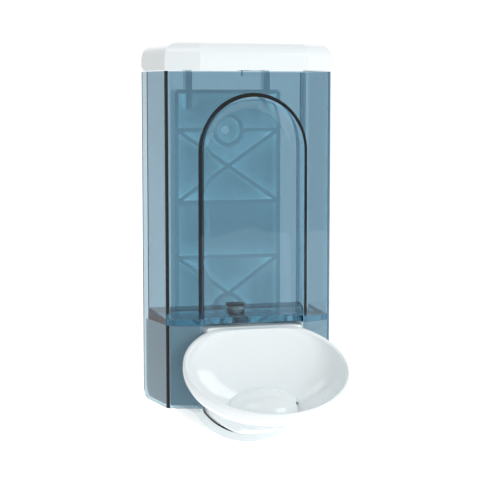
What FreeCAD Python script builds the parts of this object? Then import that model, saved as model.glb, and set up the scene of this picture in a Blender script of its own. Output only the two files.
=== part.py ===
"""Wall-mounted liquid soap dispenser with a push dish, as separate pieces with real joints.

The tank is a clear tinted shell with a half-octagon plan and an arched niche in its front.
It stands on a white base that hangs on a ribbed wall plate. A hinged lid closes the tank.
Pushing the dish swings the lever about its top edge. A hollow piston behind it then drives
the pump, and the soap leaves through the piston rod, under a small hood in the dish.

Millimetres. +X is to the right, +Y into the wall, +Z up. The wall is the plane Y = 0.
Heights in the sheet are measured from the lower edge of the tank's skirt, and the row's
origin is the point of the wall midway between the two wall screws.
"""
import FreeCAD, Part
import math
import os
import re

from FreeCAD import Vector

import Sketcher

SIZES = {
    # tank shell
    "body_width": 104.8, "foot_width": 103.4, "body_depth": 56.0, "front_width": 67.6,
    "chamfer_depth": 8.0, "corner_round": 3.2, "foot_round": 8.0, "wall_gap": 0.6,
    "shell_wall": 2.4, "mouth_height": 198.2, "floor_height": 48.8, "floor_thick": 3.4,
    "floor_rise": 4.0, "rear_gap": 9.0, "rear_wall": 2.2,
    "niche_width": 63.4, "niche_depth": 8.0, "niche_spring": 151.4, "niche_cove": 7.0,
    "port_depth": 21.5, "port_clear": 0.3, "catch_height": 203.2, "catch_wall": 2.0,
    "catch_reach": 7.6, "catch_width": 14.0,
    # wall plate
    "plate_width": 68.0, "plate_thick": 2.4, "plate_foot": 3.0, "plate_top": 187.5,
    "rib_thick": 2.4, "rib_gap": 0.6,
    "upper_screw": 163.0, "lower_screw": 53.0, "screw_hole": 2.5,
    "boss_inner": 7.7, "boss_outer": 10.4,
    "middle_rib": 119.0, "lower_rib": 85.4, "foot_rib": 40.0, "arm_root": 12.0,
    # lid, its hinge and its lock
    "lid_height": 16.4, "lid_gap": 0.4, "lid_overhang": 0.6, "lid_wall": 2.4,
    "lid_round": 9.5, "lid_rear": 2.2, "heel_height": 1.6,
    "hinge_depth": 5.9, "hinge_drop": 5.5, "knuckle_radius": 2.7, "pin_radius": 1.3,
    "pin_tight": 0.05, "knuckle_place": 23.0, "knuckle_width": 4.0, "knuckle_gap": 0.4,
    "lock_depth": 37.0, "lock_radius": 4.5, "lock_head": 6.4, "lock_sink": 0.2,
    "lock_well": 1.6, "lock_boss": 2.0, "boss_drop": 9.0, "tenon_radius": 2.45,
    "tap_radius": 1.25, "tap_depth": 6.0, "key_width": 1.2, "key_length": 6.0,
    "key_depth": 1.2, "cam_reach": 12.0, "cam_thick": 2.2, "cam_width": 6.0, "cam_disc": 5.2,
    "cam_gap": 0.5, "cam_eye": 2.5, "cam_screw_head": 3.4, "cam_screw": 1.2,
    # base
    "base_screw_place": 22.0, "base_screw_height": 27.0, "base_screw_radius": 1.5,
    "base_screw_boss": 4.0, "base_screw_head": 2.9, "head_thick": 1.85, "screw_clear": 0.3,
    "base_gap": 0.5, "base_wall": 2.0, "base_foot": 1.5, "base_rear": 3.0,
    "bay_width": 62.8, "bay_rear": 11.0, "pan_wall": 4.6, "pan_front": 51.0,
    "pan_radius": 42.8, "pan_drop": 22.5,
    # lever and dish
    "lever_gap": 0.9, "lever_wall": 2.4, "lever_top": 47.6, "lever_rear": 47.0,
    "lever_front": 66.0, "panel_front": 60.0, "lever_travel": 8.0,
    "pivot_depth": 50.0, "pivot_height": 43.4, "pivot_radius": 1.8, "pivot_grip": 3.0,
    "dish_half_width": 51.0, "dish_half_length": 36.5, "dish_sink": 29.0,
    "dish_depth": 78.0, "dish_height": 25.5, "dish_tilt": 42.5, "dish_wall": 2.5,
    "dish_clear": 0.7, "hood_half_width": 23.0, "hood_half_length": 21.0, "hood_rise": 13.5,
    "hood_depth": 68.0, "hood_height": -3.0, "hood_wall": 1.5, "hood_mouth": 78.0,
    "hood_slit": 2.5, "hood_seat": 0.3,
    # pump
    "pump_height": 2.8, "pump_bore": 7.0, "pump_wall": 2.0, "pump_rear": 13.3,
    "pump_front": 41.0, "rod_radius": 2.4, "rod_bore": 1.3, "rod_clear": 1.2, "rod_slot": 3.4,
    "pusher_wall": 2.8, "head_place": 32.0, "head_length": 4.5, "ring_gap": 0.05,
    "ring_thick": 1.5, "ring_depth": 1.55, "running_gap": 0.08, "cap_length": 3.0,
    "cap_over": 2.0, "cap_radius": 10.4, "rod_end": 68.2, "collar_place": 52.0,
    "collar_length": 2.5, "collar_radius": 6.0, "drive_gap": 0.4,
    "valve_wall": 0.6, "valve_length": 3.0, "slit_width": 3.2, "slit_height": 0.8,
    "spring_radius": 4.9, "spring_wire": 0.9, "spring_turns": 4.5,
    "pipe_radius": 4.9, "pipe_bore": 2.9, "pipe_foot": 19.0, "pipe_top": 56.4,
    "pipe_socket": 2.0, "ball_way": 1.7, "flange_thick": 1.6, "seat_gap": 0.05,
    "gasket_radius": 8.0, "gasket_thick": 1.85, "strainer_radius": 5.8,
    "strainer_thick": 1.55, "strainer_hole": 0.7, "strainer_circle": 1.6,
    "ball_radius": 2.2, "ball_height": 20.7, "seat_height": 27.0, "seat_thick": 3.0,
    "seat_bore": 1.5,
}

doc = FreeCAD.newDocument("soap_dispenser")
sizes = doc.addObject("Spreadsheet::Sheet", "sizes")
for row, (name, value) in enumerate(SIZES.items(), start=1):
    sizes.set("A%d" % row, name)
    sizes.set("B%d" % row, repr(value))
    sizes.setAlias("B%d" % row, name)
doc.recompute()

nodes = []


def cells(text):
    """An expression in which each size's name has become a reference to its cell."""
    return re.sub(r"[a-z_]+", lambda m: "sizes." + m.group() if m.group() in SIZES else m.group(),
                  str(text))


def value_of(text):
    """The number that an expression gives now."""
    found = sizes.evalExpression(cells(text))
    return float(getattr(found, "Value", found))


def bind(item, prop, text):
    item.setExpression(prop, cells(text))


def keep(item, label):
    """Name a finished piece, and move it from skirt heights to the row's origin."""
    item.Label = label
    bind(item, "Placement.Base.z", "-(upper_screw + lower_screw) / 2")
    nodes.append(item)
    return item


# ---- sketches and features -------------------------------------------------------------

def new_body(name):
    return doc.addObject("PartDesign::Body", name)


def new_sketch(body, plane, offset="0"):
    """An empty sketch on one of the body's own origin planes."""
    sketch = body.newObject("Sketcher::SketchObject", "outline")
    support = [f for f in body.Origin.OriginFeatures if f.Role == plane][0]
    sketch.AttachmentSupport = [(support, "")]
    sketch.MapMode = "FlatFace"
    bind(sketch, "AttachmentOffset.Base.z", offset)
    return sketch


def hold(sketch, geometry, point, along, text):
    """Tie one coordinate of a sketch point to an expression."""
    if str(text) == "0":
        axis = -2 if along == "X" else -1
        sketch.addConstraint(Sketcher.Constraint("PointOnObject", geometry, point, axis))
        return
    number = value_of(text)
    index = sketch.addConstraint(
        Sketcher.Constraint("Distance" + along, -1, 1, geometry, point, number))
    sketch.renameConstraint(index, "at%d" % index)
    bind(sketch, "Constraints.at%d" % index, text)


def outline(body, plane, points, offset="0"):
    """A closed outline of straight lines through points given as pairs of expressions."""
    sketch = new_sketch(body, plane, offset)
    places = [Vector(value_of(x), value_of(y), 0) for x, y in points]
    count = len(points)
    for i in range(count):
        sketch.addGeometry(Part.LineSegment(places[i], places[(i + 1) % count]))
    for i in range(count):
        sketch.addConstraint(Sketcher.Constraint("Coincident", i, 2, (i + 1) % count, 1))
    for i, (x, y) in enumerate(points):
        hold(sketch, i, 1, "X", x)
        hold(sketch, i, 1, "Y", y)
    return sketch


def circles(body, plane, rounds, offset="0"):
    """Circles given as (x, y, radius) expressions, in one sketch."""
    sketch = new_sketch(body, plane, offset)
    for i, (x, y, radius) in enumerate(rounds):
        centre = Vector(value_of(x), value_of(y), 0)
        sketch.addGeometry(Part.Circle(centre, Vector(0, 0, 1), value_of(radius)))
        hold(sketch, i, 3, "X", x)
        hold(sketch, i, 3, "Y", y)
        index = sketch.addConstraint(Sketcher.Constraint("Radius", i, value_of(radius)))
        sketch.renameConstraint(index, "radius%d" % index)
        bind(sketch, "Constraints.radius%d" % index, radius)
    return sketch


def pad(body, sketch, length, backwards=False):
    feature = body.newObject("PartDesign::Pad", "pad")
    feature.Profile = sketch
    bind(feature, "Length", length)
    feature.Reversed = backwards
    body.Tip = feature
    return feature


def pocket(body, sketch, length, backwards=False):
    feature = body.newObject("PartDesign::Pocket", "pocket")
    feature.Profile = sketch
    bind(feature, "Length", length)
    feature.Reversed = backwards
    body.Tip = feature
    return feature


def rounded(body, radius, chosen):
    """Fillet the edges of the body's last feature for which chosen(edge) is true."""
    doc.recompute()
    last = body.Tip
    names = ["Edge%d" % (i + 1) for i, edge in enumerate(last.Shape.Edges) if chosen(edge)]
    feature = body.newObject("PartDesign::Fillet", "fillet")
    feature.Base = (last, names)
    bind(feature, "Radius", radius)
    body.Tip = feature
    return feature


# ---- primitives ------------------------------------------------------------------------

def block(x, y, z):
    """A box between pairs of expressions."""
    item = doc.addObject("Part::Box", "block")
    for prop, axis, (low, high) in zip(("Length", "Width", "Height"), "xyz", (x, y, z)):
        bind(item, prop, "(%s) - (%s)" % (high, low))
        bind(item, "Placement.Base." + axis, low)
    return item


TURNS = {"X": (Vector(0, 1, 0), 90), "Y": (Vector(1, 0, 0), -90), "Z": (Vector(0, 0, 1), 0)}


def rod(axis, radius, start, end, first, second):
    """A cylinder along an axis; first and second are its other two coordinates in order."""
    item = doc.addObject("Part::Cylinder", "rod")
    item.Placement = FreeCAD.Placement(Vector(), FreeCAD.Rotation(*TURNS[axis]))
    bind(item, "Radius", radius)
    bind(item, "Height", "(%s) - (%s)" % (end, start))
    others = [a for a in "xyz" if a != axis.lower()]
    bind(item, "Placement.Base." + axis.lower(), start)
    bind(item, "Placement.Base." + others[0], first)
    bind(item, "Placement.Base." + others[1], second)
    return item


def fuse(*items):
    item = doc.addObject("Part::MultiFuse", "fuse")
    item.Shapes = list(items)
    return item


def group(*items):
    """Separate solids kept as one piece, or one primitive with a placement of its own."""
    item = doc.addObject("Part::Compound", "group")
    item.Links = list(items)
    return item


def cut(base, *tools):
    item = doc.addObject("Part::Cut", "cut")
    item.Base = base
    item.Tool = tools[0] if len(tools) == 1 else fuse(*tools)
    return item


def common(*items):
    item = doc.addObject("Part::MultiCommon", "common")
    item.Shapes = list(items)
    return item


# ---- the half-octagon plan -------------------------------------------------------------

CHAMFER_RUN = "((body_width - front_width) / 2)"
CHAMFER_LONG = "sqrt(%s ^ 2 + chamfer_depth ^ 2)" % CHAMFER_RUN
# how far a corner slides along its own face for each millimetre that the plan is inset
FRONT_SHARE = "((%s - %s) / chamfer_depth)" % (CHAMFER_LONG, CHAMFER_RUN)
SIDE_SHARE = "((%s - chamfer_depth) / %s)" % (CHAMFER_LONG, CHAMFER_RUN)


def plan(width, inset, rear):
    """Corners of the plan: straight sides, two chamfers and a front facet, inset evenly."""
    half = "(%s) / 2 - (%s)" % (width, inset)
    front = "front_width / 2 - %s * (%s)" % (FRONT_SHARE, inset)
    face = "-body_depth + (%s)" % inset
    corner = "-body_depth + chamfer_depth + %s * (%s)" % (SIDE_SHARE, inset)
    return [("-(%s)" % half, rear), ("-(%s)" % half, corner), ("-(%s)" % front, face),
            (front, face), (half, corner), (half, rear)]


def drafted(body, angle, chosen):
    """Lean the faces for which chosen(face) is true outwards as they rise from height 0."""
    doc.recompute()
    last = body.Tip
    names = ["Face%d" % (i + 1) for i, face in enumerate(last.Shape.Faces) if chosen(face)]
    feature = body.newObject("PartDesign::Draft", "draft")
    feature.Base = (last, names)
    feature.NeutralPlane = ([f for f in body.Origin.OriginFeatures if f.Role == "XY_Plane"][0],
                            [""])
    bind(feature, "Angle", angle)
    feature.Reversed = True
    body.Tip = feature
    return feature


def prism(name, inset, rear, low, high, corner="corner_round - shell_wall", foot=None):
    """The plan padded from one height to another, with the shell's slight draft at its sides.
    Its upright front corners are rounded, and its lower rear edge where foot names a radius."""
    body = new_body(name)
    pad(body, outline(body, "XY_Plane", plan("foot_width", inset, rear), low),
        "(%s) - (%s)" % (high, low))
    drafted(body, "atan((body_width - foot_width) / 2 / mouth_height)",
            lambda face: abs(face.normalAt(0, 0).x) > 0.99)
    front, bottom = value_of(rear) - 1, value_of(low)

    def upright(edge):
        box = edge.BoundBox
        return box.ZLength > 1 and box.YMax < front

    def low_rear(edge):
        box = edge.BoundBox
        return box.ZMax < bottom + 0.01 and box.YMin > front
    rounded(body, corner, upright)
    if foot:
        rounded(body, foot, low_rear)
    return body


def arch(name, inset, depth, low):
    """The niche's block: straight legs under a half-round top, coved where it meets its back."""
    body = new_body(name)
    half = "niche_width / 2 + (%s)" % inset
    front = "body_depth + 4"
    back = "body_depth - (%s)" % depth
    length = "(%s) - (%s)" % (front, back)
    pad(body, outline(body, "XZ_Plane", [("-(%s)" % half, low), (half, low),
                                         (half, "niche_spring"), ("-(%s)" % half, "niche_spring")],
                      back), length)
    pad(body, circles(body, "XZ_Plane", [("0", "niche_spring", half)], back), length)
    edge_y = -value_of(back)

    def at_back(edge):
        box = edge.BoundBox
        flat = abs(box.YMin - edge_y) < 0.01 and abs(box.YMax - edge_y) < 0.01
        return flat and box.ZMax > value_of(low) + 1
    rounded(body, "niche_cove + (%s)" % inset, at_back)
    return body


LID_FOOT = "(mouth_height + lid_gap)"
LID_TOP = "(mouth_height + lid_gap + lid_height)"
HINGE_HEIGHT = "(mouth_height + lid_gap + lid_height - hinge_drop)"
PAN_CENTRE = "(pan_radius - pan_drop)"
BASE_SCREWS = ("-base_screw_place", "base_screw_place")

# ---- tank ------------------------------------------------------------------------------

def make_tank():
    shell = prism("tank_outside", "0", "-wall_gap", "0", "mouth_height", "corner_round",
                  "foot_round")
    niche = arch("niche", "0", "niche_depth", "floor_height - 1")
    hollow = cut(prism("tank_inside", "shell_wall", "-rear_gap - rear_wall",
                       "floor_height + floor_thick", "mouth_height + 5"),
                 arch("niche_back", "shell_wall", "niche_depth + shell_wall",
                      "floor_height + floor_thick - 5"))
    behind = prism("tank_behind", "shell_wall", "0", "-1", "mouth_height + 5")
    behind_only = common(behind, block(("-body_width", "body_width"), ("-rear_gap", "5"),
                                       ("-2", "mouth_height + 6")))
    below = prism("skirt_inside", "shell_wall", "0", "-1", "floor_height")
    front_open = block(("-niche_width / 2", "niche_width / 2"),
                       ("-body_depth - 5", "-body_depth + shell_wall + 2"),
                       ("-1", "floor_height"))
    port = rod("Z", "pipe_radius + port_clear", "floor_height - 1", "floor_height + floor_thick + 6",
               "0", "-port_depth")
    wedge = new_body("floor_slope")
    pad(wedge, outline(wedge, "YZ_Plane", [
        ("-body_depth + shell_wall + niche_depth", "floor_height + floor_thick - 0.5"),
        ("-rear_gap - 0.5", "floor_height + floor_thick - 0.5"),
        ("-rear_gap - 0.5", "floor_height + floor_thick + floor_rise"),
        ("-body_depth + shell_wall + niche_depth", "floor_height + floor_thick")],
        "-foot_width / 2 + 1"), "foot_width - 2")
    catch_post = block(("-catch_width / 2", "catch_width / 2"),
                       ("-body_depth + shell_wall - 0.1", "-body_depth + shell_wall + catch_wall"),
                       ("mouth_height - 3", "catch_height + catch_wall"))
    catch_lip = block(("-catch_width / 2", "catch_width / 2"),
                      ("-body_depth + shell_wall - 0.1", "-body_depth + shell_wall + catch_reach"),
                      ("catch_height", "catch_height + catch_wall"))
    hollowed = cut(shell, hollow, niche, behind_only, below, front_open)
    return keep(cut(fuse(hollowed, wedge, catch_post, catch_lip), port), "tank")


# ---- wall plate ------------------------------------------------------------------------

def rib(body, start, end, thick="rib_thick"):
    """A straight rib between two points of the plate's face, given in expressions."""
    (x0, z0), (x1, z1) = [(value_of(a), value_of(b)) for a, b in (start, end)]
    length = math.hypot(x1 - x0, z1 - z0)
    across = (-(z1 - z0) / length, (x1 - x0) / length)
    half = "(%s) / 2" % thick
    points = []
    for (x, z), side in ((start, 1), (end, 1), (end, -1), (start, -1)):
        points.append(("(%s) + %.6f * %s" % (x, side * across[0], half),
                       "(%s) + %.6f * %s" % (z, side * across[1], half)))
    pad(body, outline(body, "XZ_Plane", points, "plate_thick - 0.4"),
        "rear_gap - rib_gap - plate_thick + 0.4")


def make_wall_plate():
    body = new_body("plate_blank")
    half = "plate_width / 2"
    pad(body, outline(body, "XZ_Plane", [("-" + half, "plate_foot"), (half, "plate_foot"),
                                         (half, "plate_top"), ("-" + half, "plate_top")]),
        "plate_thick")
    edge = "plate_width / 2 - rib_thick / 2"
    top = "plate_top - rib_thick / 2"
    foot = "plate_foot + rib_thick / 2"
    rib(body, ("-(%s)" % edge, foot), ("-(%s)" % edge, top))
    rib(body, (edge, foot), (edge, top))
    for height in (top, "middle_rib", "lower_rib", "foot_rib"):
        rib(body, ("-(%s)" % edge, height), (edge, height))
    rib(body, ("-(%s)" % edge, "upper_screw"), ("-boss_outer + 0.5", "upper_screw"))
    rib(body, ("boss_outer - 0.5", "upper_screw"), (edge, "upper_screw"))
    for low, high in (("middle_rib", "upper_screw"), ("foot_rib", "lower_rib")):
        rib(body, ("-(%s)" % edge, low), (edge, high))
        rib(body, ("-(%s)" % edge, high), (edge, low))
    bosses = [("0", "upper_screw"), ("0", "lower_screw")]
    pad(body, circles(body, "XZ_Plane", [(x, z, "boss_outer") for x, z in bosses],
                      "plate_thick - 0.4"), "rear_gap - rib_gap - plate_thick + 0.4")
    pocket(body, circles(body, "XZ_Plane", [(x, z, "boss_inner") for x, z in bosses],
                         "rear_gap"), "rear_gap - plate_thick")
    pocket(body, circles(body, "XZ_Plane", [(x, z, "screw_hole") for x, z in bosses],
                         "rear_gap"), "rear_gap + 1")
    doc.recompute()
    arms = []
    for side in ("-", ""):
        ends = sorted(["%s(knuckle_place)" % side, "%s(knuckle_place + knuckle_width)" % side],
                      key=value_of)
        arms.append(block(ends, ("-rear_gap + 0.4", "-hinge_depth + knuckle_radius"),
                          ("plate_top - arm_root", HINGE_HEIGHT)))
        arms.append(rod("X", "knuckle_radius", ends[0], ends[1], "-hinge_depth", HINGE_HEIGHT))
        arms.append(block(ends, ("-rear_gap + 0.4", "-plate_thick + 0.4"),
                          ("plate_top - arm_root", "plate_top")))
    bore = rod("X", "pin_radius + pin_tight", "-body_width / 2", "body_width / 2",
               "-hinge_depth", HINGE_HEIGHT)
    posts = [rod("Y", "base_screw_boss", "-bay_rear + 0.4 + base_gap / 2",
                 "-plate_thick + 0.4", x, "base_screw_height") for x in BASE_SCREWS]
    taps = [rod("Y", "base_screw_radius + 0.02", "-bay_rear - base_wall - 1", "-plate_thick",
                x, "base_screw_height") for x in BASE_SCREWS]
    return keep(cut(fuse(body, *arms, *posts), bore, *taps), "wall_plate")


# ---- lid, hinge and lock ---------------------------------------------------------------

def capped(name, inset, rear, low, high, radius):
    """The plan padded straight up, with a round along its top edges except at the rear."""
    body = new_body(name)
    pad(body, outline(body, "XY_Plane", plan("body_width", inset, rear), low),
        "(%s) - (%s)" % (high, low))
    top, back = value_of(high), value_of(rear)

    def on_top(edge):
        box = edge.BoundBox
        return box.ZMin > top - 0.01 and box.YMin < back - 0.01
    rounded(body, radius, on_top)
    return body


def make_lid():
    outside = capped("lid_outside", "-lid_overhang", "-lid_rear", LID_FOOT, LID_TOP,
                     "lid_round")
    inside = capped("lid_inside", "lid_wall - lid_overhang", "1", "mouth_height - 2",
                    LID_TOP + " - lid_wall", "lid_round - lid_wall")
    heel = block(("-body_width", "body_width"), ("-hinge_depth", "3"),
                 ("mouth_height - 2", LID_FOOT + " + heel_height"))
    ears = []
    for side in ("-", ""):
        near = "knuckle_place + knuckle_width + knuckle_gap"
        ends = sorted([side + "(%s)" % near, side + "(%s + knuckle_width)" % near],
                      key=value_of)
        ears.append(rod("X", "knuckle_radius", ends[0], ends[1], "-hinge_depth", HINGE_HEIGHT))
        ears.append(block(ends, ("-hinge_depth - knuckle_radius", "-hinge_depth + knuckle_radius"),
                          (HINGE_HEIGHT, LID_TOP + " - lid_wall + 0.5")))
    reach = "knuckle_place + 2 * knuckle_width + 2 * knuckle_gap"
    bore = rod("X", "pin_radius + running_gap", "-(%s)" % reach, reach, "-hinge_depth",
               HINGE_HEIGHT)
    boss = rod("Z", "lock_head + lock_boss", LID_TOP + " - boss_drop",
               LID_TOP + " - lid_wall + 0.4", "0", "-lock_depth")
    well = rod("Z", "lock_head + running_gap", LID_TOP + " - lock_well", LID_TOP + " + 1",
               "0", "-lock_depth")
    through = rod("Z", "lock_radius + running_gap", "mouth_height", LID_TOP, "0", "-lock_depth")
    keep(cut(fuse(cut(outside, inside, heel), boss, *ears), bore, well, through), "lid")
    keep(group(rod("X", "pin_radius", "-(%s)" % reach, reach, "-hinge_depth", HINGE_HEIGHT)),
         "lid_hinge_pin")


def make_lock():
    cam_top = "(catch_height - cam_gap)"
    cam_foot = "(catch_height - cam_gap - cam_thick)"
    place = ("0", "-lock_depth")
    head = rod("Z", "lock_head", LID_TOP + " - lock_well + seat_gap", LID_TOP + " - lock_sink",
               *place)
    shaft = rod("Z", "lock_radius", cam_top, LID_TOP + " - lock_well + 0.1", *place)
    tenon = rod("Z", "tenon_radius", cam_foot, cam_top + " + 0.5", *place)
    key_slot = block(("-key_width / 2", "key_width / 2"),
                     ("-lock_depth - key_length / 2", "-lock_depth + key_length / 2"),
                     (LID_TOP + " - key_depth", LID_TOP))
    tap = rod("Z", "tap_radius", cam_foot + " - 1", cam_foot + " + tap_depth", *place)
    keep(cut(fuse(head, shaft, tenon), key_slot, tap), "lock_barrel")
    arm = block(("0", "cam_reach"),
                ("-lock_depth - cam_width / 2", "-lock_depth + cam_width / 2"),
                (cam_foot, cam_top))
    disc = rod("Z", "cam_disc", cam_foot, cam_top, *place)
    eye = rod("Z", "cam_eye", cam_foot + " - 1", cam_top + " + 1", *place)
    keep(cut(fuse(arm, disc), eye), "lock_cam")
    screw_head = rod("Z", "cam_screw_head", cam_foot + " - head_thick", cam_foot + " - seat_gap",
                     *place)
    shank = rod("Z", "cam_screw", cam_foot + " - 0.5", cam_foot + " + tap_depth - 1", *place)
    keep(fuse(screw_head, shank), "lock_screw")


# ---- base ------------------------------------------------------------------------------

def make_base():
    inset = "shell_wall + base_gap"
    top = "floor_height - 0.4"
    outside = prism("base_outside", inset, "-base_rear", "base_foot", top,
                    foot="foot_round")
    inside = prism("base_inside", inset + " + base_wall", "-base_rear - base_wall", "base_foot - 1",
                   top + " - base_wall")
    half = "bay_width / 2"
    front = "-body_depth + shell_wall + base_gap"
    walls = block(("-(%s + base_wall)" % half, half + " + base_wall"),
                  (front, "-bay_rear + 0.4"), ("base_foot - 4", top))
    pan = common(rod("Y", "pan_radius", "-pan_front", "-1", "0", PAN_CENTRE),
                 block(("-(%s + pan_wall)" % half, half + " + pan_wall"), ("-pan_front", "-1"),
                       ("-pan_drop - 1", "base_foot + 0.5")))
    bay_low = common(rod("Y", "pan_radius - pan_wall", "-body_depth - 4",
                         "-bay_rear - base_wall", "0", PAN_CENTRE),
                     block(("-" + half, half), ("-body_depth - 4", "-bay_rear - base_wall"),
                           ("-pan_drop", PAN_CENTRE)))
    bay_high = block(("-" + half, half), ("-body_depth - 4", "-bay_rear - base_wall"),
                     (PAN_CENTRE + " - 6", "floor_height + 2"))
    for_plate = block(("-plate_width / 2 - 0.5", "plate_width / 2 + 0.5"),
                      ("-rear_gap - 0.2", "1"), ("plate_foot - 0.5", "floor_height + 1"))
    pivots = rod("X", "pivot_radius + 0.03", "-(%s + base_wall)" % half, half + " + base_wall",
                 "-pivot_depth", "pivot_height")
    holes = [rod("Y", "base_screw_radius + screw_clear", "-bay_rear - base_wall - 1", "-bay_rear + 1",
                 x, "base_screw_height") for x in BASE_SCREWS]
    keep(cut(fuse(cut(outside, inside), walls, pan), bay_low, bay_high, for_plate, pivots,
             *holes), "base_housing")
    screws = []
    for x in BASE_SCREWS:
        seat = "-bay_rear - base_wall"
        screws.append(rod("Y", "base_screw_head", seat + " - head_thick - seat_gap",
                          seat + " - seat_gap", x, "base_screw_height"))
        screws.append(rod("Y", "base_screw_radius", seat + " - 0.5", "-plate_thick - 0.5", x,
                          "base_screw_height"))
    keep(fuse(*screws), "base_screws")


# ---- lever and dish --------------------------------------------------------------------

def egg(less, half=False):
    """The dish's tilted ellipsoid, smaller all round by a given amount."""
    item = doc.addObject("Part::Ellipsoid", "egg")
    bind(item, "Radius1", "dish_sink - (%s)" % less)
    bind(item, "Radius2", "dish_half_width - (%s)" % less)
    bind(item, "Radius3", "dish_half_length - (%s)" % less)
    if half:
        item.Angle2 = 0
    item.Placement = FreeCAD.Placement(Vector(), FreeCAD.Rotation(Vector(1, 0, 0), 1))
    bind(item, "Placement.Rotation.Angle", "dish_tilt * 1 deg")
    bind(item, "Placement.Base.y", "-dish_depth")
    bind(item, "Placement.Base.z", "dish_height")
    return item


def behind_dish(forward):
    """The space behind the dish's flat back, which clears the shell through the whole travel."""
    lean = "(lever_travel + 0.5) * 1 deg"
    item = block(("-body_width", "body_width"), ("0", "60"), ("0", "100"))
    item.Placement = FreeCAD.Placement(Vector(), FreeCAD.Rotation(Vector(1, 0, 0), 1))
    bind(item, "Placement.Rotation.Angle", "-" + lean)
    bind(item, "Placement.Base.x", "-body_width")
    bind(item, "Placement.Base.y",
         "-body_depth - dish_clear - (%s) - 90 * sin(%s)" % (forward, lean))
    bind(item, "Placement.Base.z", "pivot_height - 90 * cos(%s)" % lean)
    return item


def make_lever():
    half = "(bay_width / 2 - lever_gap)"
    neck_radius = "(pan_radius - pan_wall - lever_gap)"

    def trough(inset, front, rear):
        reach = ("-(%s - %s)" % (half, inset), "%s - %s" % (half, inset))
        return common(rod("Y", "%s - %s" % (neck_radius, inset), front, rear, "0", PAN_CENTRE),
                      block(reach, (front, rear), ("-pan_drop", "10")))
    neck = trough("0", "-lever_front", "-lever_rear")
    panel = block(("-" + half, half), ("-panel_front", "-lever_rear"), ("0", "lever_top"))
    neck_hollow = trough("lever_wall", "-lever_front + lever_wall", "-lever_rear + 1")
    panel_hollow = block(("-(%s - lever_wall)" % half, half + " - lever_wall"),
                         ("-lever_front", "-lever_rear + 1"), ("5", "lever_top - lever_wall"))
    hollow = common(fuse(neck_hollow, panel_hollow), behind_dish("0"))
    boss = rod("Y", "rod_radius + pusher_wall", "-lever_front + 2", "-collar_place - drive_gap",
               "0", "pump_height")
    hole = "rod_radius + rod_clear"
    reach = ("-lever_front - 8", "-collar_place + 5")
    rod_slot = fuse(rod("Y", hole, *reach, "0", "pump_height"),
                    rod("Y", hole, *reach, "0", "pump_height + rod_slot"),
                    block(("-(%s)" % hole, hole), reach, ("pump_height", "pump_height + rod_slot")))
    above = block(("-body_width", "body_width"), ("-body_depth - 60", "0"),
                  ("lever_top", "lever_top + 20"))
    bores = rod("X", "pivot_radius + running_gap", "-" + half, half, "-pivot_depth",
                "pivot_height")
    bowl = cut(egg("0", half=True), behind_dish("0"))
    inside = cut(egg("dish_wall"), behind_dish("dish_wall"))
    frame = cut(fuse(neck, panel), hollow)
    keep(cut(fuse(frame, bowl, boss), inside, rod_slot, above, bores), "push_lever")
    wall = "bay_width / 2 + base_wall"
    keep(group(rod("X", "pivot_radius", "-(%s)" % wall, "-(%s) + pivot_grip" % half, "-pivot_depth",
                   "pivot_height"),
               rod("X", "pivot_radius", half + " - pivot_grip", wall, "-pivot_depth", "pivot_height")),
         "lever_pivot_pins")


def make_hood():
    def bump(less):
        item = doc.addObject("Part::Ellipsoid", "bump")
        bind(item, "Radius1", "hood_rise - (%s)" % less)
        bind(item, "Radius2", "hood_half_width - (%s)" % less)
        bind(item, "Radius3", "hood_half_length - (%s)" % less)
        bind(item, "Placement.Base.y", "-hood_depth")
        bind(item, "Placement.Base.z", "hood_height")
        return item
    mouth = block(("-hood_half_width", "hood_half_width"), ("-body_depth - 60", "-hood_mouth"),
                  ("-pan_drop", "hood_slit"))
    keep(cut(common(bump("0"), egg("dish_wall + hood_seat")), bump("hood_wall"), mouth,
             behind_dish("dish_wall + hood_seat")),
         "spout_hood")


# ---- pump ------------------------------------------------------------------------------

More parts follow.
